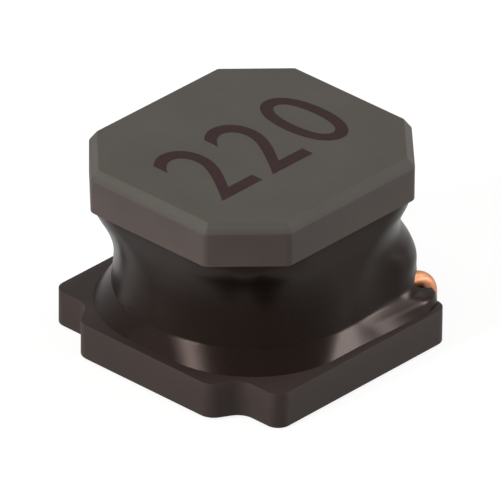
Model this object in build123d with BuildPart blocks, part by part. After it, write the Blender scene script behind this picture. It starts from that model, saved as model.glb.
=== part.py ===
from build123d import *

import os
from math import acos, atan2, cos, degrees, hypot, radians, sin, tan

# Surface-mount power inductor with a wire-wound ferrite drum and a cast magnetic shield.
# All sizes are in millimetres. X runs across the two terminals and Z is up from the board.
# The origin is on the board, under the middle of the part.

# Drum core, pressed and sintered ferrite
overall_height = 4.20
plate_length = 6.00
plate_width = 6.00
plate_thickness = 0.75
ear_width = 4.80
ear_corner_radius = 0.28
tab_length = 3.45
tab_corner_radius = 0.35
notch_angle = 60.0
notch_corner_radius = 0.40
notch_wall_share = 0.95
post_diameter = 2.50
flange_length = 5.30
flange_width = 5.82
flange_thickness = 0.91
flange_corner_cut = 1.15
flange_corner_radius = 0.22
bevel_height = 0.205
bevel_inset = 0.155

# Winding, one length of enamelled copper wire in two layers
wire_diameter = 0.32
turn_gap = 0.02
layer_gap = 0.04
post_gap = 0.02
plate_gap = 0.05
winding_cover = 0.36
turn_roundness = 0.90
corners_per_turn = 5
crossover_corners = 3
crossover_advance = 67.0
outer_layer_lift = 0.54
exit_dip = 0.09
turn_sides = 6

# Leads, out through the shield and down through two notches of the plate
lead_spread = 4.60
lead_notch_gap = 0.04
entry_bend_radius = 0.26
exit_bend_radius = 0.40
lower_bend_radius = 0.26
lead_end_length = 1.30

# Terminals under the plate
pad_thickness = 0.05
pad_width = 1.15
pad_length = 4.30
pad_edge_margin = 0.10
pad_corner_radius = 0.12
groove_side_gap = 0.07
groove_top_gap = 0.04
solder_wire_gap = 0.01
solder_tail = 0.15
solder_edge_margin = 0.15

# Shield, magnetic resin cast between the plate and the flange
shield_foot_side = 5.56
shield_foot_radius = 2.13
shield_foot_height = 0.40
shield_waist_side = 5.26
shield_waist_radius = 2.25
shield_neck_side = 5.22
shield_neck_radius = 2.30
shield_spread_height = 1.36
shield_spread_radius = 1.80
shield_top_inset = 0.03
bulge_spread = 3.28
bulge_y = 1.62
bulge_radius = 0.90
bulge_foot_radius = 1.26
bulge_foot_height = 0.75
bulge_height = 1.75
bulge_fillet = 0.35
shield_edge_margin = 0.03
shield_winding_gap = 0.02
lead_tunnel_gap = 0.02
lead_hole_gap = 0.09
lead_hole_depth = 0.45

# Heights and places that follow from the sizes above
plate_top = pad_thickness + plate_thickness
flange_under = overall_height - flange_thickness
wire_radius = wire_diameter / 2
post_radius = post_diameter / 2
ear_edge = ear_width / 2
lead_x = lead_spread / 2
lead_y = ear_edge + lead_notch_gap + wire_radius
groove_width = wire_diameter + 2 * groove_side_gap
lead_floor = pad_thickness + wire_radius
groove_top = lead_floor + wire_radius + groove_top_gap
lead_end_y = lead_y - lower_bend_radius - lead_end_length
groove_end_y = lead_end_y - solder_tail
bulge_top = plate_top + bulge_height
spread_length = flange_length - 2 * shield_top_inset
spread_width = flange_width - 2 * shield_top_inset
cutter_side = 2 * max(plate_length, plate_width)

# Distance within which a corner or an edge counts as lying on a line of its outline
near = 0.01

# Layers of the winding, and the angles at which the leads leave them as tangents
pitch = wire_diameter + turn_gap
inner_radius = post_radius + post_gap + wire_radius
outer_radius = inner_radius + wire_diameter + layer_gap
lead_distance = hypot(lead_x, lead_y)
lead_angle = degrees(atan2(lead_y, lead_x))
entry_angle = 180 - lead_angle + degrees(acos(inner_radius / lead_distance))
exit_angle = 360 + lead_angle - degrees(acos(outer_radius / lead_distance))
entry_run = (lead_distance**2 - inner_radius**2) ** 0.5
exit_run = (lead_distance**2 - outer_radius**2) ** 0.5
entry_rise = pitch * entry_run / (2 * radians(180) * inner_radius)
exit_drop = pitch * exit_run / (2 * radians(180) * outer_radius)
entry_height = plate_top + plate_gap + wire_radius + entry_rise
exit_height = entry_height + outer_layer_lift * pitch

# Whole turns that fit under the flange, and the even step between the corners of the path
part_turn = exit_angle - entry_angle
turn_room = (flange_under - winding_cover - wire_radius - exit_height) / pitch - crossover_advance / 360
whole_turns = int(2 * turn_room - part_turn / 360)
wound_angle = part_turn + 360 * whole_turns
corner_count = round(wound_angle / 360 * corners_per_turn)
corner_step = wound_angle / corner_count
crossover_start = wound_angle / 2 - crossover_advance
corner_stretch = 1 / cos(radians(corner_step / 2))
winding_radius = outer_radius * (1 + (1 - turn_roundness) * (corner_stretch - 1)) + wire_radius
winding_top = exit_height + pitch * (wound_angle - crossover_start) / 360 + wire_radius


# Outline of the bottom plate: straight ends with ears, and a tab in the middle of each side
def plate_outline(height):
    notch_depth = plate_width / 2 - ear_edge
    notch_run = notch_depth / tan(radians(notch_angle))
    tab_half = tab_length / 2
    # The two roundings of a notch share its slanted wall, so a short wall limits them
    wall_room = notch_wall_share * notch_depth / sin(radians(notch_angle)) / tan(radians(notch_angle / 2))
    rounding = min(1, wall_room / (tab_corner_radius + notch_corner_radius))
    with BuildSketch(Plane.XY.offset(height)) as outline:
        Rectangle(plate_length, ear_width)
        with BuildLine():
            Polyline(
                (tab_half + notch_run, ear_edge),
                (tab_half, plate_width / 2),
                (-tab_half, plate_width / 2),
                (-tab_half - notch_run, ear_edge),
                (-tab_half - notch_run, -ear_edge),
                (-tab_half, -plate_width / 2),
                (tab_half, -plate_width / 2),
                (tab_half + notch_run, -ear_edge),
                close=True,
            )
        make_face()
        ears = outline.vertices().filter_by(lambda v: abs(v.X) > tab_half + notch_run + near)
        fillet(ears, ear_corner_radius)
        tabs = outline.vertices().filter_by(lambda v: abs(v.Y) > plate_width / 2 - near)
        fillet(tabs, rounding * tab_corner_radius)
        roots = outline.vertices().filter_by(
            lambda v: abs(abs(v.X) - tab_half - notch_run) < near and abs(abs(v.Y) - ear_edge) < near
        )
        fillet(roots, rounding * notch_corner_radius)
    return outline.sketch


# Outline of the top flange: a rectangle with its corners cut off
def flange_outline(height):
    with BuildSketch(Plane.XY.offset(height)) as outline:
        Rectangle(flange_length, flange_width)
        chamfer(outline.vertices(), flange_corner_cut)
        fillet(outline.vertices(), flange_corner_radius)
    return outline.sketch


# One corner point of the winding's path, at an angle wound on from the entry
def winding_corner(wound):
    if wound <= crossover_start:
        height = entry_height + pitch * wound / 360
    else:
        height = exit_height + pitch * (wound_angle - wound) / 360
    crossed = (wound - crossover_start - corner_step) / (crossover_corners * corner_step)
    share = min(max(crossed, 0), 1)
    reach = (inner_radius + share * (outer_radius - inner_radius)) * corner_stretch
    angle = radians(entry_angle + wound)
    return (reach * cos(angle), reach * sin(angle), height), turn_roundness * reach / corner_stretch


# Point where a lead leaves the winding as a tangent, on the side -1 or 1
def tangent_point(side):
    if side < 0:
        radius, angle, height = inner_radius, radians(entry_angle), entry_height
    else:
        radius, angle, height = outer_radius, radians(exit_angle), exit_height
    return (radius * cos(angle), radius * sin(angle), height)


# Path of one lead: out to the notch, down past the plate and back into the groove
def lead_path(side):
    if side < 0:
        height, bend_radius = entry_height - entry_rise, entry_bend_radius
    else:
        height, bend_radius = exit_height - exit_drop - exit_dip, exit_bend_radius
    with BuildLine() as path:
        FilletPolyline(
            tangent_point(side),
            (side * lead_x, lead_y, height),
            (side * lead_x, lead_y, lead_floor),
            (side * lead_x, lead_end_y, lead_floor),
            radius=[bend_radius, lower_bend_radius],
        )
    return path.line


# Drum core: plate, post and flange in one piece, with two wire grooves under the plate
with BuildPart() as drum_core:
    add(plate_outline(pad_thickness))
    extrude(amount=plate_thickness)
    with BuildSketch(Plane.XY.offset(plate_top)):
        Circle(post_radius)
    extrude(amount=flange_under - plate_top)
    add(flange_outline(flange_under))
    extrude(amount=flange_thickness)
    top_face = drum_core.faces().sort_by(Axis.Z)[-1]
    chamfer(top_face.edges(), length=bevel_inset, length2=bevel_height, reference=top_face)
    with BuildSketch(Plane.XY.offset(pad_thickness)):
        with Locations((-lead_x, groove_end_y), (lead_x, groove_end_y)):
            Rectangle(groove_width, plate_width, align=(Align.CENTER, Align.MIN))
    extrude(amount=groove_top - pad_thickness, mode=Mode.SUBTRACT)

# Winding: one wire, round along both leads and six-sided in the turns that the shield covers
with BuildPart() as coil_wire:
    corners = [winding_corner((k + 0.5) * corner_step) for k in range(corner_count)]
    with BuildLine() as turns:
        FilletPolyline(
            tangent_point(-1),
            *[point for point, radius in corners],
            tangent_point(1),
            radius=[radius for point, radius in corners],
        )
    with BuildSketch(Plane(turns.line @ 0, z_dir=turns.line % 0)):
        RegularPolygon(wire_radius, turn_sides)
    sweep(path=turns.line)
    for side in (-1, 1):
        lead = lead_path(side)
        with BuildSketch(Plane(lead @ 0, z_dir=lead % 0)):
            Circle(wire_radius)
        sweep(path=lead)


# Levels of the shield's outer wall, from the plate up to the flange
shield_waist = plate_top + shield_foot_height
shield_neck = flange_under - shield_spread_height
shield_levels = [
    (plate_top, shield_foot_side, shield_foot_side, shield_foot_radius),
    (shield_waist, shield_waist_side, shield_waist_side, shield_waist_radius),
    (shield_neck, shield_neck_side, shield_neck_side, shield_neck_radius),
    (flange_under, spread_length, spread_width, shield_spread_radius),
]
shield_limit = offset(plate_outline(0), amount=-shield_edge_margin)

with BuildPart() as resin_fill:
    for height, length, width, radius in shield_levels[:2]:
        with BuildSketch(Plane.XY.offset(height)):
            RectangleRounded(length, width, radius)
    loft(ruled=True)
    for height, length, width, radius in shield_levels[1:]:
        with BuildSketch(Plane.XY.offset(height)):
            RectangleRounded(length, width, radius)
    loft()
    # A domed bulge covers each lead where it comes out, and runs into the wall in a fillet
    for side in (-1, 1):
        bulge_x = side * bulge_spread / 2
        with BuildSketch(Plane.XZ.offset(-bulge_y)):
            with BuildLine():
                Polyline(
                    (bulge_x, bulge_top),
                    (bulge_x, plate_top),
                    (bulge_x + bulge_foot_radius, plate_top),
                    (bulge_x + bulge_radius, plate_top + bulge_foot_height),
                    (bulge_x + bulge_radius, bulge_top - bulge_radius),
                )
                RadiusArc(
                    (bulge_x + bulge_radius, bulge_top - bulge_radius),
                    (bulge_x, bulge_top),
                    -bulge_radius,
                )
            make_face()
        revolve(axis=Axis((bulge_x, bulge_y, 0), (0, 0, 1)))
        seams = resin_fill.edges(Select.NEW).filter_by(lambda e: (e @ 0.5).Z > plate_top + near)
        fillet(seams, bulge_fillet)
    # The feet of the wall and of the bulges stop at the plate's edge
    with BuildSketch(Plane.XY.offset(plate_top)) as beyond_plate:
        Rectangle(cutter_side, cutter_side)
        add(shield_limit, mode=Mode.SUBTRACT)
    extrude(amount=bulge_height, mode=Mode.SUBTRACT)
    # The spread ends flush with the flange
    with BuildSketch(Plane.XY.offset(shield_neck)) as beyond_flange:
        Rectangle(cutter_side, cutter_side)
        add(flange_outline(0), mode=Mode.SUBTRACT)
    extrude(amount=shield_spread_height, mode=Mode.SUBTRACT)
    # Room for the post and the winding
    with BuildSketch(Plane.XY.offset(plate_top)):
        Circle(post_radius + post_gap)
    extrude(amount=flange_under - plate_top, mode=Mode.SUBTRACT)
    with BuildSketch(Plane.XY.offset(plate_top)):
        Circle(winding_radius + shield_winding_gap)
    extrude(amount=winding_top + shield_winding_gap - plate_top, mode=Mode.SUBTRACT)
    # Tunnels for the leads, each with a wider mouth
    for side in (-1, 1):
        lead = lead_path(side)
        with BuildSketch(Plane(lead @ 0, z_dir=lead % 0)):
            Circle(wire_radius + lead_tunnel_gap)
        sweep(path=lead, mode=Mode.SUBTRACT)
        run = lead.edges().sort_by(SortBy.LENGTH)[-1]
        mouth = Plane(run @ 1 - lead_hole_depth * (run % 1), z_dir=run % 1)
        with BuildSketch(mouth):
            Circle(wire_radius + lead_hole_gap)
        extrude(amount=2 * lead_hole_depth, mode=Mode.SUBTRACT)


# Plated terminal under the ears of one end, open along the groove of its lead
def terminal_pad(side):
    with BuildPart() as pad:
        with BuildSketch():
            with Locations((side * (plate_length / 2 - pad_edge_margin - pad_width / 2), 0)):
                RectangleRounded(pad_width, pad_length, pad_corner_radius)
            with Locations((side * lead_x, groove_end_y)):
                Rectangle(
                    groove_width,
                    plate_width,
                    align=(Align.CENTER, Align.MIN),
                    mode=Mode.SUBTRACT,
                )
        extrude(amount=pad_thickness)
    return pad.part


# Solder that fills the groove round the end of one lead
def solder_joint(side):
    with BuildPart() as joint:
        with BuildSketch():
            with Locations((side * lead_x, groove_end_y)):
                Rectangle(
                    groove_width,
                    ear_edge - solder_edge_margin - groove_end_y,
                    align=(Align.CENTER, Align.MIN),
                )
        extrude(amount=groove_top)
        with BuildSketch(Plane.XZ.offset(solder_wire_gap - lead_end_y)):
            with Locations((side * lead_x, lead_floor)):
                Circle(wire_radius + solder_wire_gap)
        extrude(amount=-plate_width, mode=Mode.SUBTRACT)
    return joint.part


pieces = {
    "drum_core": drum_core.part,
    "coil_wire": coil_wire.part,
    "resin_fill": resin_fill.part,
    "terminal_pad_left": terminal_pad(-1),
    "terminal_pad_right": terminal_pad(1),
    "solder_left": solder_joint(-1),
    "solder_right": solder_joint(1),
}

os.makedirs("parts", exist_ok=True)
for name, piece in pieces.items():
    piece.label = name
    export_step(piece, f"parts/{name}.step")
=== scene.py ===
from math import cos, hypot, pi, radians, sin, sqrt, tau

import bpy
from mathutils import Matrix, Vector


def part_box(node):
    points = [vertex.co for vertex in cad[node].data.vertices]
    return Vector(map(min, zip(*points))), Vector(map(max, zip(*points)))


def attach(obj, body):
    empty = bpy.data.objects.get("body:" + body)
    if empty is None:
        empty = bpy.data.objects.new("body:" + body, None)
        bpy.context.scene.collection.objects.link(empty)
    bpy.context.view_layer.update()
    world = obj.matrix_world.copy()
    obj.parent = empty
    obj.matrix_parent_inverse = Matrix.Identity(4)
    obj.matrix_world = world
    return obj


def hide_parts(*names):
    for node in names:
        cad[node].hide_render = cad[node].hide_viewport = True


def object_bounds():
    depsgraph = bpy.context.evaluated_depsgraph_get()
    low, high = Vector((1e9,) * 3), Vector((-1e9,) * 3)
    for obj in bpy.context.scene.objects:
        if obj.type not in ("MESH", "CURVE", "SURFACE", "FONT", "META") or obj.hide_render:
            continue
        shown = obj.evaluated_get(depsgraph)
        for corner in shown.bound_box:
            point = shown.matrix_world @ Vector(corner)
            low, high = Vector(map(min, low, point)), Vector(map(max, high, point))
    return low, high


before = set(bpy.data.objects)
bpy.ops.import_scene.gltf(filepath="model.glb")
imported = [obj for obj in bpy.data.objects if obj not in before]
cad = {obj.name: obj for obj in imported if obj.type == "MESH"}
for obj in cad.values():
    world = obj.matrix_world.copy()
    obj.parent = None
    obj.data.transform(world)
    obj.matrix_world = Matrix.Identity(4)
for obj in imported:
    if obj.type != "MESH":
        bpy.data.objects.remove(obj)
cad_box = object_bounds()
bpy.context.scene.view_settings.view_transform = "Standard"

MM = 0.001
PER_MM = 1000.0
MERGE_GAP = 0.0005 * MM

# Camera, worked out from the photograph's frame of 500 by 500 pixels
IMAGE_WIDTH = 500
SENSOR_WIDTH = 36.0
AZIMUTH = radians(42.93)
ELEVATION = radians(30.19)
ROLL = radians(0.50)
CAMERA_DISTANCE = 255.3 * MM
CAMERA_REACH = 10.0
PIXELS_PER_MM = 51.84
AIM = Vector((0, 0, 2.0 * MM))
AIM_PIXEL = (250.95, 243.03)

# Light: the room from all sides, and a floor that is lifted to white where it shows. The floor lies a
# hair under the terminals, so that the two faces don't coincide.
ROOM_LIGHT = 0.072
FLOOR_COLOUR = "828180"
FLOOR_LIFT = 0.84
FLOOR_SIDE = 120 * MM
FLOOR_GAP = 0.001 * MM

# Heights that the new pieces share with the frame's nodes, and the thickness of the printed ink
TOP = cad_box[1].z
PLATE_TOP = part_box("resin_fill")[0].z
FLANGE_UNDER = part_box("resin_fill")[1].z
INK_FILM = 0.004 * MM

# Roundings of the edges: of the pressed core, of the plating and of the solder
PRESSED_EDGE = 0.035 * MM
PLATED_EDGE = 0.012 * MM
SOLDER_EDGE = 0.02 * MM


def linear(hex_colour):
    """An sRGB hex colour as the linear colour that Blender's sockets take."""
    channels = [int(hex_colour[i:i + 2], 16) / 255 for i in (0, 2, 4)]
    return [c / 12.92 if c <= 0.04045 else ((c + 0.055) / 1.055) ** 2.4 for c in channels] + [1.0]


def add_node(tree, kind, inputs=None, stops=(), **settings):
    """Adds a node with its settings and a ramp's colour stops, and sets or links its inputs."""
    made = tree.nodes.new(kind)
    for name, value in settings.items():
        setattr(made, name, value)
    for position, _ in stops[1:-1]:
        made.color_ramp.elements.new(position)
    if stops:
        for element, (position, colour) in zip(made.color_ramp.elements, stops):
            element.position = position
            element.color = linear(colour)
    for name, value in (inputs or {}).items():
        if isinstance(value, bpy.types.NodeSocket):
            tree.links.new(value, made.inputs[name])
        else:
            made.inputs[name].default_value = value
    return made


def new_material(name):
    """A material with an empty node tree."""
    made = bpy.data.materials.new(name)
    made.use_nodes = True
    made.node_tree.nodes.clear()
    return made


# Ferrite, pressed from powder and sintered: dark warm grey and nearly matt, with a fine grain. Its
# colour is set by height. The plate and the bevel are painted darker than the top as painted shade, and
# the plate and the flange's edge are browner. The real grain is too fine to show, so it is drawn
# coarser.
def sintered_ferrite():
    grain_mm, mottle_mm, grain_share = 0.045, 1.4, 0.35
    plate_mm, edge_mm, bevel_mm, top_mm = 0.9, 3.2, 3.95, 4.1
    made = new_material("sintered_ferrite")
    tree = made.node_tree
    place = add_node(tree, "ShaderNodeTexCoord").outputs["Object"]
    grain = add_node(tree, "ShaderNodeTexNoise",
                     {"Vector": place, "Scale": PER_MM / grain_mm, "Detail": 2.0})
    mottle = add_node(tree, "ShaderNodeTexNoise",
                      {"Vector": place, "Scale": PER_MM / mottle_mm, "Detail": 3.0})
    height = add_node(tree, "ShaderNodeSeparateXYZ", {"Vector": place}).outputs["Z"]
    share = add_node(tree, "ShaderNodeMath", {0: height, 1: 1 / TOP}, operation="MULTIPLY")
    # Painted shade: the tones by height colour the plate and the bevel darker than the top, standing in
    # for the shade that falls on them
    tones = [(plate_mm, "2E2421"), (edge_mm, "4A413D"), (bevel_mm, "423A37"), (top_mm, "4A4640")]
    tone_and_painted_shade = add_node(tree, "ShaderNodeValToRGB", {"Fac": share.outputs[0]},
                     [(height_mm * MM / TOP, tone) for height_mm, tone in tones])
    shade = add_node(tree, "ShaderNodeMath",
                     {0: grain.outputs["Fac"], 1: grain_share, 2: mottle.outputs["Fac"]},
                     operation="MULTIPLY_ADD")
    variation = add_node(tree, "ShaderNodeValToRGB", {"Fac": shade.outputs[0]},
                         [(0.40, "E6E6E6"), (1.0, "FFFFFF")])
    # Inputs 0, 6 and 7 of a colour mix are its factor and its two colours
    colour = add_node(tree, "ShaderNodeMix",
                      {0: 1.0, 6: tone_and_painted_shade.outputs["Color"], 7: variation.outputs["Color"]},
                      data_type="RGBA", blend_type="MULTIPLY")
    bump = add_node(tree, "ShaderNodeBump",
                    {"Height": grain.outputs["Fac"], "Strength": 0.12, "Distance": 0.01 * MM})
    shader = add_node(tree, "ShaderNodeBsdfPrincipled", {
        "Base Color": colour.outputs[2], "Roughness": 0.62, "IOR": 1.5, "Specular IOR Level": 0.20,
        "Normal": bump.outputs["Normal"]})
    add_node(tree, "ShaderNodeOutputMaterial", {"Surface": shader.outputs["BSDF"]})
    return made


# Magnetic epoxy, cast and cured: near black with a brown tint, with a soft gloss and slightly wavy. The
# powder in it is drawn coarser than it is.
def cast_magnetic_epoxy():
    wave_mm, powder_mm = 1.1, 0.06
    made = new_material("cast_magnetic_epoxy")
    tree = made.node_tree
    place = add_node(tree, "ShaderNodeTexCoord").outputs["Object"]
    wave = add_node(tree, "ShaderNodeTexNoise",
                    {"Vector": place, "Scale": PER_MM / wave_mm, "Detail": 1.0})
    powder = add_node(tree, "ShaderNodeTexNoise",
                      {"Vector": place, "Scale": PER_MM / powder_mm, "Detail": 2.0})
    colour = add_node(tree, "ShaderNodeValToRGB", {"Fac": powder.outputs["Fac"]},
                      [(0.35, "100906"), (0.75, "170E0B")])
    roughness = add_node(tree, "ShaderNodeMapRange",
                         {"Value": wave.outputs["Fac"], "To Min": 0.27, "To Max": 0.32})
    bump = add_node(tree, "ShaderNodeBump",
                    {"Height": wave.outputs["Fac"], "Strength": 0.03, "Distance": 0.04 * MM})
    shader = add_node(tree, "ShaderNodeBsdfPrincipled", {
        "Base Color": colour.outputs["Color"], "Roughness": roughness.outputs[0], "IOR": 1.5,
        "Specular IOR Level": 0.11, "Specular Tint": linear("FFE2D7"),
        "Normal": bump.outputs["Normal"]})
    add_node(tree, "ShaderNodeOutputMaterial", {"Surface": shader.outputs["BSDF"]})
    return made


# Copper wire, drawn and enamelled: warm metal under a clear coat. The marks of the drawing are drawn
# coarser than they are.
def enamelled_copper():
    draw_mm = 0.05
    made = new_material("enamelled_copper")
    tree = made.node_tree
    place = add_node(tree, "ShaderNodeTexCoord").outputs["Object"]
    marks = add_node(tree, "ShaderNodeTexNoise",
                     {"Vector": place, "Scale": PER_MM / draw_mm, "Detail": 2.0})
    colour = add_node(tree, "ShaderNodeValToRGB", {"Fac": marks.outputs["Fac"]},
                      [(0.3, "9E6949"), (0.8, "AF7C5D")])
    shader = add_node(tree, "ShaderNodeBsdfPrincipled", {
        "Base Color": colour.outputs["Color"], "Metallic": 1.0, "Roughness": 0.52,
        "Coat Weight": 0.2, "Coat Roughness": 0.4, "Coat IOR": 1.5})
    add_node(tree, "ShaderNodeOutputMaterial", {"Surface": shader.outputs["BSDF"]})
    return made


# Tin, plated on the ferrite: pale satin metal with a fine crystal grain, drawn coarser than it is
def plated_tin():
    grain_mm = 0.06
    made = new_material("plated_tin")
    tree = made.node_tree
    place = add_node(tree, "ShaderNodeTexCoord").outputs["Object"]
    grain = add_node(tree, "ShaderNodeTexVoronoi", {"Vector": place, "Scale": PER_MM / grain_mm})
    roughness = add_node(tree, "ShaderNodeMapRange",
                         {"Value": grain.outputs["Distance"], "To Min": 0.30, "To Max": 0.46})
    bump = add_node(tree, "ShaderNodeBump",
                    {"Height": grain.outputs["Distance"], "Strength": 0.1, "Distance": 0.01 * MM})
    shader = add_node(tree, "ShaderNodeBsdfPrincipled", {
        "Base Color": linear("D6D3CC"), "Metallic": 1.0, "Roughness": roughness.outputs[0],
        "Normal": bump.outputs["Normal"]})
    add_node(tree, "ShaderNodeOutputMaterial", {"Surface": shader.outputs["BSDF"]})
    return made


# Solder, melted and set: satin metal, a little darker and smoother than the plating
def set_solder():
    crystal_mm = 0.25
    made = new_material("set_solder")
    tree = made.node_tree
    place = add_node(tree, "ShaderNodeTexCoord").outputs["Object"]
    crystal = add_node(tree, "ShaderNodeTexNoise",
                       {"Vector": place, "Scale": PER_MM / crystal_mm, "Detail": 3.0})
    roughness = add_node(tree, "ShaderNodeMapRange",
                         {"Value": crystal.outputs["Fac"], "To Min": 0.2, "To Max": 0.4})
    bump = add_node(tree, "ShaderNodeBump",
                    {"Height": crystal.outputs["Fac"], "Strength": 0.3, "Distance": 0.03 * MM})
    shader = add_node(tree, "ShaderNodeBsdfPrincipled", {
        "Base Color": linear("C3C2BF"), "Metallic": 1.0, "Roughness": roughness.outputs[0],
        "Normal": bump.outputs["Normal"]})
    add_node(tree, "ShaderNodeOutputMaterial", {"Surface": shader.outputs["BSDF"]})
    return made


# Marking ink, pad printed: a thin matt film of dark maroon
def printed_ink():
    film_mm = 0.08
    made = new_material("printed_ink")
    tree = made.node_tree
    place = add_node(tree, "ShaderNodeTexCoord").outputs["Object"]
    film = add_node(tree, "ShaderNodeTexNoise",
                    {"Vector": place, "Scale": PER_MM / film_mm, "Detail": 2.0})
    colour = add_node(tree, "ShaderNodeValToRGB", {"Fac": film.outputs["Fac"]},
                      [(0.3, "231313"), (0.8, "2D1A1A")])
    shader = add_node(tree, "ShaderNodeBsdfPrincipled", {
        "Base Color": colour.outputs["Color"], "Roughness": 0.7, "Specular IOR Level": 0.15})
    add_node(tree, "ShaderNodeOutputMaterial", {"Surface": shader.outputs["BSDF"]})
    return made


ferrite = sintered_ferrite()
resin = cast_magnetic_epoxy()
copper = enamelled_copper()
tin = plated_tin()
solder = set_solder()
ink = printed_ink()

NODE_MATERIALS = {
    "drum_core": ferrite, "coil_wire": copper, "resin_fill": resin, "terminal_pad_left": tin,
    "terminal_pad_right": tin, "solder_left": solder, "solder_right": solder,
}
for name, finish in NODE_MATERIALS.items():
    cad[name].data.materials.clear()
    cad[name].data.materials.append(finish)


def deselect_all():
    """Leaves nothing selected, so that an operator acts on the new piece alone."""
    bpy.ops.object.select_all(action="DESELECT")


def make_active(piece):
    """Selects one piece alone and makes it the active one."""
    deselect_all()
    piece.select_set(True)
    bpy.context.view_layer.objects.active = piece


def apply_modifiers(piece):
    """Applies every modifier of a piece, in their order."""
    make_active(piece)
    for modifier in list(piece.modifiers):
        bpy.ops.object.modifier_apply(modifier=modifier.name)


def smooth_by_angle(piece, degrees):
    """Smooth shading that keeps the edges sharper than an angle."""
    make_active(piece)
    bpy.ops.object.shade_smooth_by_angle(angle=radians(degrees))


def finish_piece(piece, material):
    """Gives a finished piece its material and its body."""
    piece.data.materials.clear()
    piece.data.materials.append(material)
    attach(piece, "root")


def merged_copy(node, name):
    """A copy of a node's mesh as a new piece, with its loose triangles merged into whole faces."""
    piece = bpy.data.objects.new(name, cad[node].data.copy())
    bpy.context.scene.collection.objects.link(piece)
    make_active(piece)
    bpy.ops.object.mode_set(mode="EDIT")
    bpy.ops.mesh.select_all(action="SELECT")
    bpy.ops.mesh.customdata_custom_splitnormals_clear()
    bpy.ops.mesh.remove_doubles(threshold=MERGE_GAP)
    bpy.ops.mesh.dissolve_limited(angle_limit=radians(1))
    bpy.ops.object.mode_set(mode="OBJECT")
    return piece


def soften_edges(piece, radius):
    """Rounds off every sharp edge of a piece."""
    bevel = piece.modifiers.new("edge", "BEVEL")
    bevel.width = radius
    bevel.segments = 3
    bevel.limit_method = "ANGLE"
    bevel.angle_limit = radians(24)
    bevel.use_clamp_overlap = True
    apply_modifiers(piece)
    smooth_by_angle(piece, 30)


# Drum core: the pressed edges are rounded off, and the top face lies one film of ink lower
def pressed_core():
    piece = merged_copy("drum_core", "pressed_core")
    for vertex in piece.data.vertices:
        if vertex.co.z > TOP - INK_FILM / 2:
            vertex.co.z = TOP - INK_FILM
    soften_edges(piece, PRESSED_EDGE)
    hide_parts("drum_core")
    finish_piece(piece, ferrite)


# Terminals and solder, their edges rounded off as plating and melted metal leave them
def soft_metal(node, name, material, radius):
    piece = merged_copy(node, name)
    soften_edges(piece, radius)
    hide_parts(node)
    finish_piece(piece, material)


pressed_core()
for side in ("left", "right"):
    soft_metal("terminal_pad_" + side, "plated_pad_" + side, tin, PLATED_EDGE)
    soft_metal("solder_" + side, "set_joint_" + side, solder, SOLDER_EDGE)


# Resin wall, all in mm. Each row has a height above the board, the half length and the half width of
# the wall there, and how far its corners reach from the middle.
WALL_LEVELS = [
    (0.80, 2.80, 2.80, 3.04),
    (1.22, 2.62, 2.62, 2.70),
    (1.50, 2.60, 2.60, 2.67),
    (1.90, 2.60, 2.60, 2.65),
    (2.20, 2.60, 2.61, 2.69),
    (2.48, 2.60, 2.65, 2.77),
    (2.70, 2.60, 2.70, 2.86),
    (2.97, 2.61, 2.78, 3.00),
    (3.17, 2.62, 2.84, 3.08),
    (3.29, 2.62, 2.87, 3.11),
]

# The same on the side of the leads, where the two corners are fuller and stand on a wider foot
LEAD_SIDE_LEVELS = [
    (0.80, 2.90, 2.80, 3.62),
    (1.02, 2.84, 2.75, 3.57),
    (1.12, 2.78, 2.71, 3.45),
    (1.22, 2.73, 2.68, 3.30),
    (1.32, 2.69, 2.66, 3.23),
    (1.50, 2.66, 2.64, 3.20),
    (1.80, 2.64, 2.61, 3.19),
    (2.06, 2.62, 2.60, 3.09),
    (2.25, 2.61, 2.60, 2.96),
    (2.42, 2.60, 2.62, 2.87),
    (2.60, 2.60, 2.67, 2.86),
    (2.80, 2.60, 2.72, 2.92),
    (3.00, 2.61, 2.79, 3.02),
    (3.17, 2.62, 2.84, 3.08),
    (3.29, 2.62, 2.87, 3.11),
]
# The straight foot ends at one height, and from another the wall keeps to the flange's outline. Between
# them it may hang over the plate's outline, the more the higher it is.
FOOT_TOP = 1.22
FLANGE_REACHED = 3.00
OVERHANG = 0.6
LEAD_SIDE_BLEND = 0.6
EDGE_BLEND = 0.05

# Outlines of the flange and the plate that the wall keeps to
FLANGE_HALF = (2.65, 2.91)
FLANGE_CORNER_CUT = 1.15
PLATE_HALF = 3.0
EAR_EDGE = 2.40
TAB_HALF = 1.725
NOTCH_HALF = 2.07
EDGE_MARGIN = 0.03

# Limits of a corner's rounding: its least radius, and its greatest as a share of the wall's half size
LEAST_CORNER = 0.3
GREATEST_CORNER = 0.999

# A distance past every outline, and a number that counts as nothing
FAR = 9.0
TINY = 1e-9

# Holes round the two leads: a point on the hole's axis, its level direction and its radius
LEAD_HOLES = [
    ((2.43, 2.52, 1.23), (0.180, 0.984), 0.26),
    ((-2.30, 2.60, 1.03), (-0.293, 0.956), 0.22),
]
HOLE_LENGTH = 2.4
HOLE_SIDES = 48


def level_at(rows, height):
    """The wall's half length, half width and corner reach at a height.

    They follow straight lines in the foot, and above it a smooth curve through the rows.
    """
    height = min(max(height, rows[0][0]), rows[-1][0])
    below = max(i for i, row in enumerate(rows[:-1]) if row[0] <= height)
    low, high = rows[below], rows[below + 1]
    step = high[0] - low[0]
    t = (height - low[0]) / step
    if high[0] <= FOOT_TOP:
        return [a + (b - a) * t for a, b in zip(low[1:], high[1:])]
    before = rows[below - 1] if low[0] > FOOT_TOP else low
    after = rows[min(below + 2, len(rows) - 1)]
    made = []
    for column in (1, 2, 3):
        slope_low = (high[column] - before[column]) / (high[0] - before[0]) * step
        slope_high = (after[column] - low[column]) / (after[0] - low[0]) * step
        made.append((2 * t**3 - 3 * t**2 + 1) * low[column] + (t**3 - 2 * t**2 + t) * slope_low
                    + (3 * t**2 - 2 * t**3) * high[column] + (t**3 - t**2) * slope_high)
    return made


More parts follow.
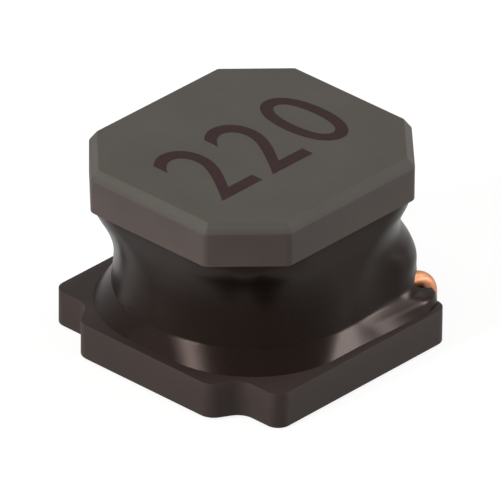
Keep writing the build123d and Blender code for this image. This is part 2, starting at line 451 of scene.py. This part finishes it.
def rounded_reach(angle, half_x, half_y, corner):
    """Distance from the middle to a rounded rectangle whose corners reach as far as given."""
    smaller = min(half_x, half_y)
    diagonal = corner - hypot(half_x - smaller, half_y - smaller) * 0.5
    radius = (smaller * sqrt(2) - diagonal) / (sqrt(2) - 1)
    radius = min(max(radius, LEAST_CORNER), smaller * GREATEST_CORNER)
    x, y = abs(cos(angle)), abs(sin(angle))
    flat_x, flat_y = half_x - radius, half_y - radius
    along = min(half_x / x if x > TINY else FAR, half_y / y if y > TINY else FAR)
    if along * x > flat_x and along * y > flat_y:
        middle = x * flat_x + y * flat_y
        return middle + sqrt(max(middle**2 - (flat_x**2 + flat_y**2 - radius**2), 0))
    return along


def polygon_reach(angle, corners):
    """Distance from the middle to a closed outline along an angle."""
    x, y = cos(angle), sin(angle)
    for (ax, ay), (bx, by) in zip(corners, corners[1:] + corners[:1]):
        across = x * (by - ay) - y * (bx - ax)
        if abs(across) < TINY:
            continue
        distance = (ax * (by - ay) - ay * (bx - ax)) / across
        share = (ax * y - ay * x) / across
        if distance > 0 and -TINY <= share <= 1 + TINY:
            return distance
    return FAR


def smaller_reach(a, b):
    """The smaller of two reaches, with a smooth blend where they are nearly the same."""
    share = max(EDGE_BLEND - abs(a - b), 0) / EDGE_BLEND
    return min(a, b) - share**2 * EDGE_BLEND / 4


def quarter_mirrored(points):
    """An outline's points in all four quarters, from those of the first one, given anticlockwise."""
    first = list(points)
    second = [(-x, y) for x, y in reversed(first)]
    third = [(-x, -y) for x, y in first]
    fourth = [(x, -y) for x, y in reversed(first)]
    return first + second + third + fourth


FLANGE_OUTLINE = quarter_mirrored([
    (FLANGE_HALF[0], FLANGE_HALF[1] - FLANGE_CORNER_CUT),
    (FLANGE_HALF[0] - FLANGE_CORNER_CUT, FLANGE_HALF[1]),
])
PLATE_OUTLINE = quarter_mirrored([
    (PLATE_HALF - EDGE_MARGIN, EAR_EDGE - EDGE_MARGIN),
    (NOTCH_HALF, EAR_EDGE - EDGE_MARGIN),
    (TAB_HALF, PLATE_HALF - EDGE_MARGIN),
])


def resin_reach(angle, height):
    """Distance from the middle to the resin's outer wall, in mm."""
    share = min(max(sin(angle) / LEAD_SIDE_BLEND, 0), 1)
    share = share**2 * (3 - 2 * share)
    reach = rounded_reach(angle, *level_at(WALL_LEVELS, height)) * (1 - share)
    reach += rounded_reach(angle, *level_at(LEAD_SIDE_LEVELS, height)) * share
    if height > FLANGE_REACHED:
        return smaller_reach(reach, polygon_reach(angle, FLANGE_OUTLINE))
    overhang = max(height - FOOT_TOP, 0) * OVERHANG
    return smaller_reach(reach, polygon_reach(angle, PLATE_OUTLINE) + overhang)


def cut_lead_hole(piece, point, direction, radius):
    """Cuts the hole that one lead comes out of, from outside the resin into the winding's room."""
    deselect_all()
    bpy.ops.mesh.primitive_cylinder_add(vertices=HOLE_SIDES, radius=radius * MM,
                                        depth=HOLE_LENGTH * MM)
    cutter = bpy.context.object
    along = Vector((*direction, 0)).normalized()
    turn = along.to_track_quat("Z", "Y").to_matrix().to_4x4()
    cutter.data.transform(Matrix.Translation(Vector(point) * MM) @ turn)
    cut = piece.modifiers.new("lead_hole", "BOOLEAN")
    cut.operation = "DIFFERENCE"
    cut.solver = "EXACT"
    cut.object = cutter
    apply_modifiers(piece)
    bpy.data.objects.remove(cutter)


# The shield starts as a flat grid. Its columns go round the part, and its rows go up the wall outside
# and come down again round the post and the winding.
def cast_shield():
    around, foot_rows, wall_rows = 360, 10, 56
    post, winding, winding_top = 1.27, 2.02, 2.95
    foot, top = PLATE_TOP / MM, FLANGE_UNDER / MM
    rows = [foot + (FOOT_TOP - foot) * k / foot_rows for k in range(foot_rows)]
    rows += [FOOT_TOP + (top - FOOT_TOP) * k / wall_rows for k in range(wall_rows + 1)]
    inner = [(post, top), (post, winding_top), (winding, winding_top), (winding, foot)]
    steps = len(rows) + len(inner)
    bpy.ops.mesh.primitive_grid_add(x_subdivisions=around, y_subdivisions=steps, size=1)
    piece = bpy.context.object
    piece.name = "cast_shield"
    for vertex in piece.data.vertices:
        angle = tau * (vertex.co.x + 0.5)
        row = round((vertex.co.y + 0.5) * steps) % steps
        if row < len(rows):
            reach, height = resin_reach(angle, rows[row]), rows[row]
        else:
            reach, height = inner[row - len(rows)]
        vertex.co = Vector((reach * cos(angle), reach * sin(angle), height)) * MM
    bpy.ops.object.mode_set(mode="EDIT")
    bpy.ops.mesh.select_all(action="SELECT")
    bpy.ops.mesh.remove_doubles(threshold=MERGE_GAP)
    bpy.ops.mesh.normals_make_consistent(inside=False)
    bpy.ops.object.mode_set(mode="OBJECT")
    for point, direction, radius in LEAD_HOLES:
        cut_lead_hole(piece, point, direction, radius)
    smooth_by_angle(piece, 28)
    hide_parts("resin_fill")
    finish_piece(piece, resin)


deselect_all()
cast_shield()


# Digits of the value marking, printed on the top face: they read along +Y
def value_marking():
    value, digit_height, digit_width, pitch = "220", 2.05 * MM, 1.10 * MM, 1.41 * MM
    middle_x, middle_place = 0.06 * MM, (len(value) - 1) / 2
    made = []
    for place, digit in enumerate(value):
        deselect_all()
        bpy.ops.object.text_add(location=(0, 0, 0))
        text = bpy.context.object
        text.data.body = digit
        text.data.size = digit_height
        text.data.extrude = INK_FILM
        text.data.resolution_u = 16
        bpy.ops.object.convert(target="MESH")
        piece = bpy.context.object
        xs = [v.co.x for v in piece.data.vertices]
        ys = [v.co.y for v in piece.data.vertices]
        for v in piece.data.vertices:
            across = (v.co.x - min(xs)) / (max(xs) - min(xs)) - 0.5
            up = (v.co.y - min(ys)) / (max(ys) - min(ys)) - 0.5
            v.co = Vector((middle_x - up * digit_height,
                           across * digit_width + (place - middle_place) * pitch,
                           TOP if v.co.z > 0 else TOP - 2 * INK_FILM))
        made.append(piece)
    deselect_all()
    for piece in made:
        piece.select_set(True)
    bpy.context.view_layer.objects.active = made[0]
    bpy.ops.object.join()
    made[0].name = "value_marking"
    return made[0]


marking = value_marking()
finish_piece(marking, ink)


# Camera at the photograph's viewing angle
back = Vector((sin(AZIMUTH) * cos(ELEVATION), -cos(AZIMUTH) * cos(ELEVATION), sin(ELEVATION)))
level = Vector((cos(AZIMUTH), sin(AZIMUTH), 0))
upright = back.cross(level)
across = level * cos(ROLL) + upright * sin(ROLL)
upward = upright * cos(ROLL) - level * sin(ROLL)
camera_data = bpy.data.cameras.new("camera")
camera_data.sensor_width = SENSOR_WIDTH
camera_data.lens = PIXELS_PER_MM * PER_MM * CAMERA_DISTANCE * SENSOR_WIDTH / IMAGE_WIDTH
camera_data.clip_end = CAMERA_REACH
camera = bpy.data.objects.new("camera", camera_data)
bpy.context.scene.collection.objects.link(camera)
move_across = (IMAGE_WIDTH / 2 - AIM_PIXEL[0]) / PIXELS_PER_MM * MM
move_upward = (AIM_PIXEL[1] - IMAGE_WIDTH / 2) / PIXELS_PER_MM * MM
eye = AIM + back * CAMERA_DISTANCE + across * move_across + upward * move_upward
camera.matrix_world = Matrix.Translation(eye) @ Matrix((across, upward, back)).transposed().to_4x4()
bpy.context.scene.camera = camera


def shown_rays(tree):
    """A factor of 1 for the rays that see the surroundings: camera, glossy and transmission rays."""
    rays = add_node(tree, "ShaderNodeLightPath")
    seen = add_node(tree, "ShaderNodeMath",
                    {0: rays.outputs["Is Camera Ray"], 1: rays.outputs["Is Glossy Ray"]},
                    operation="MAXIMUM")
    shown = add_node(tree, "ShaderNodeMath",
                     {0: seen.outputs[0], 1: rays.outputs["Is Transmission Ray"]},
                     operation="MAXIMUM")
    return shown.outputs[0]


def white_floor():
    """A pale floor that keeps its shadow and is lifted to white where it shows."""
    made = new_material("white_floor")
    tree = made.node_tree
    lift = add_node(tree, "ShaderNodeMath", {0: shown_rays(tree), 1: FLOOR_LIFT}, operation="MULTIPLY")
    glow = add_node(tree, "ShaderNodeEmission", {"Strength": lift.outputs[0]})
    matt = add_node(tree, "ShaderNodeBsdfDiffuse", {"Color": linear(FLOOR_COLOUR)})
    both = add_node(tree, "ShaderNodeAddShader", {0: matt.outputs[0], 1: glow.outputs[0]})
    add_node(tree, "ShaderNodeOutputMaterial", {"Surface": both.outputs[0]})
    return made


deselect_all()
bpy.ops.mesh.primitive_plane_add(size=FLOOR_SIDE)
floor = bpy.context.object
floor.data.transform(Matrix.Translation((0, 0, -FLOOR_GAP)))
floor.name = "floor"
floor.data.materials.append(white_floor())

world = bpy.data.worlds.new("room")
bpy.context.scene.world = world
world.use_nodes = True
world.node_tree.nodes.clear()
strength = add_node(world.node_tree, "ShaderNodeMapRange",
                    {"Value": shown_rays(world.node_tree), "To Min": ROOM_LIGHT, "To Max": 1.0})
background = add_node(world.node_tree, "ShaderNodeBackground",
                      {"Color": linear("FFFFFF"), "Strength": strength.outputs[0]})
add_node(world.node_tree, "ShaderNodeOutputWorld", {"Surface": background.outputs[0]})


def softbox(name, azimuth, elevation, distance, width, height, radiance):
    """A soft lamp that faces the object, its power worked out from how bright its face is."""
    lamp = bpy.data.lights.new(name, "AREA")
    lamp.shape = "RECTANGLE"
    lamp.size = width * MM
    lamp.size_y = height * MM
    lamp.energy = radiance * pi * lamp.size * lamp.size_y
    made = bpy.data.objects.new(name, lamp)
    bpy.context.scene.collection.objects.link(made)
    turn, rise = radians(azimuth), radians(elevation)
    towards = Vector((sin(turn) * cos(rise), -cos(turn) * cos(rise), sin(rise)))
    made.location = AIM + towards * distance * MM
    made.rotation_mode = "QUATERNION"
    made.rotation_quaternion = towards.to_track_quat("Z", "Y")
    return made


# Each lamp's azimuth and elevation in degrees, its distance, width and height in mm, and how bright its
# face is. Azimuth 43 is the camera's side of the object; smaller is to its left and larger to its
# right. The two strips make the highlights on the resin's foot.
softbox("left_strip", -12, 18, 100, 26, 44, 36.0)
softbox("right_strip", 130, 4, 100, 13, 28, 60.0)
softbox("left_side", -60, 34, 110, 60, 60, 1.0)
softbox("right_side", 150, 42, 110, 60, 60, 5.4)
softbox("top_box", 43, 80, 40, 16, 16, 3.9)
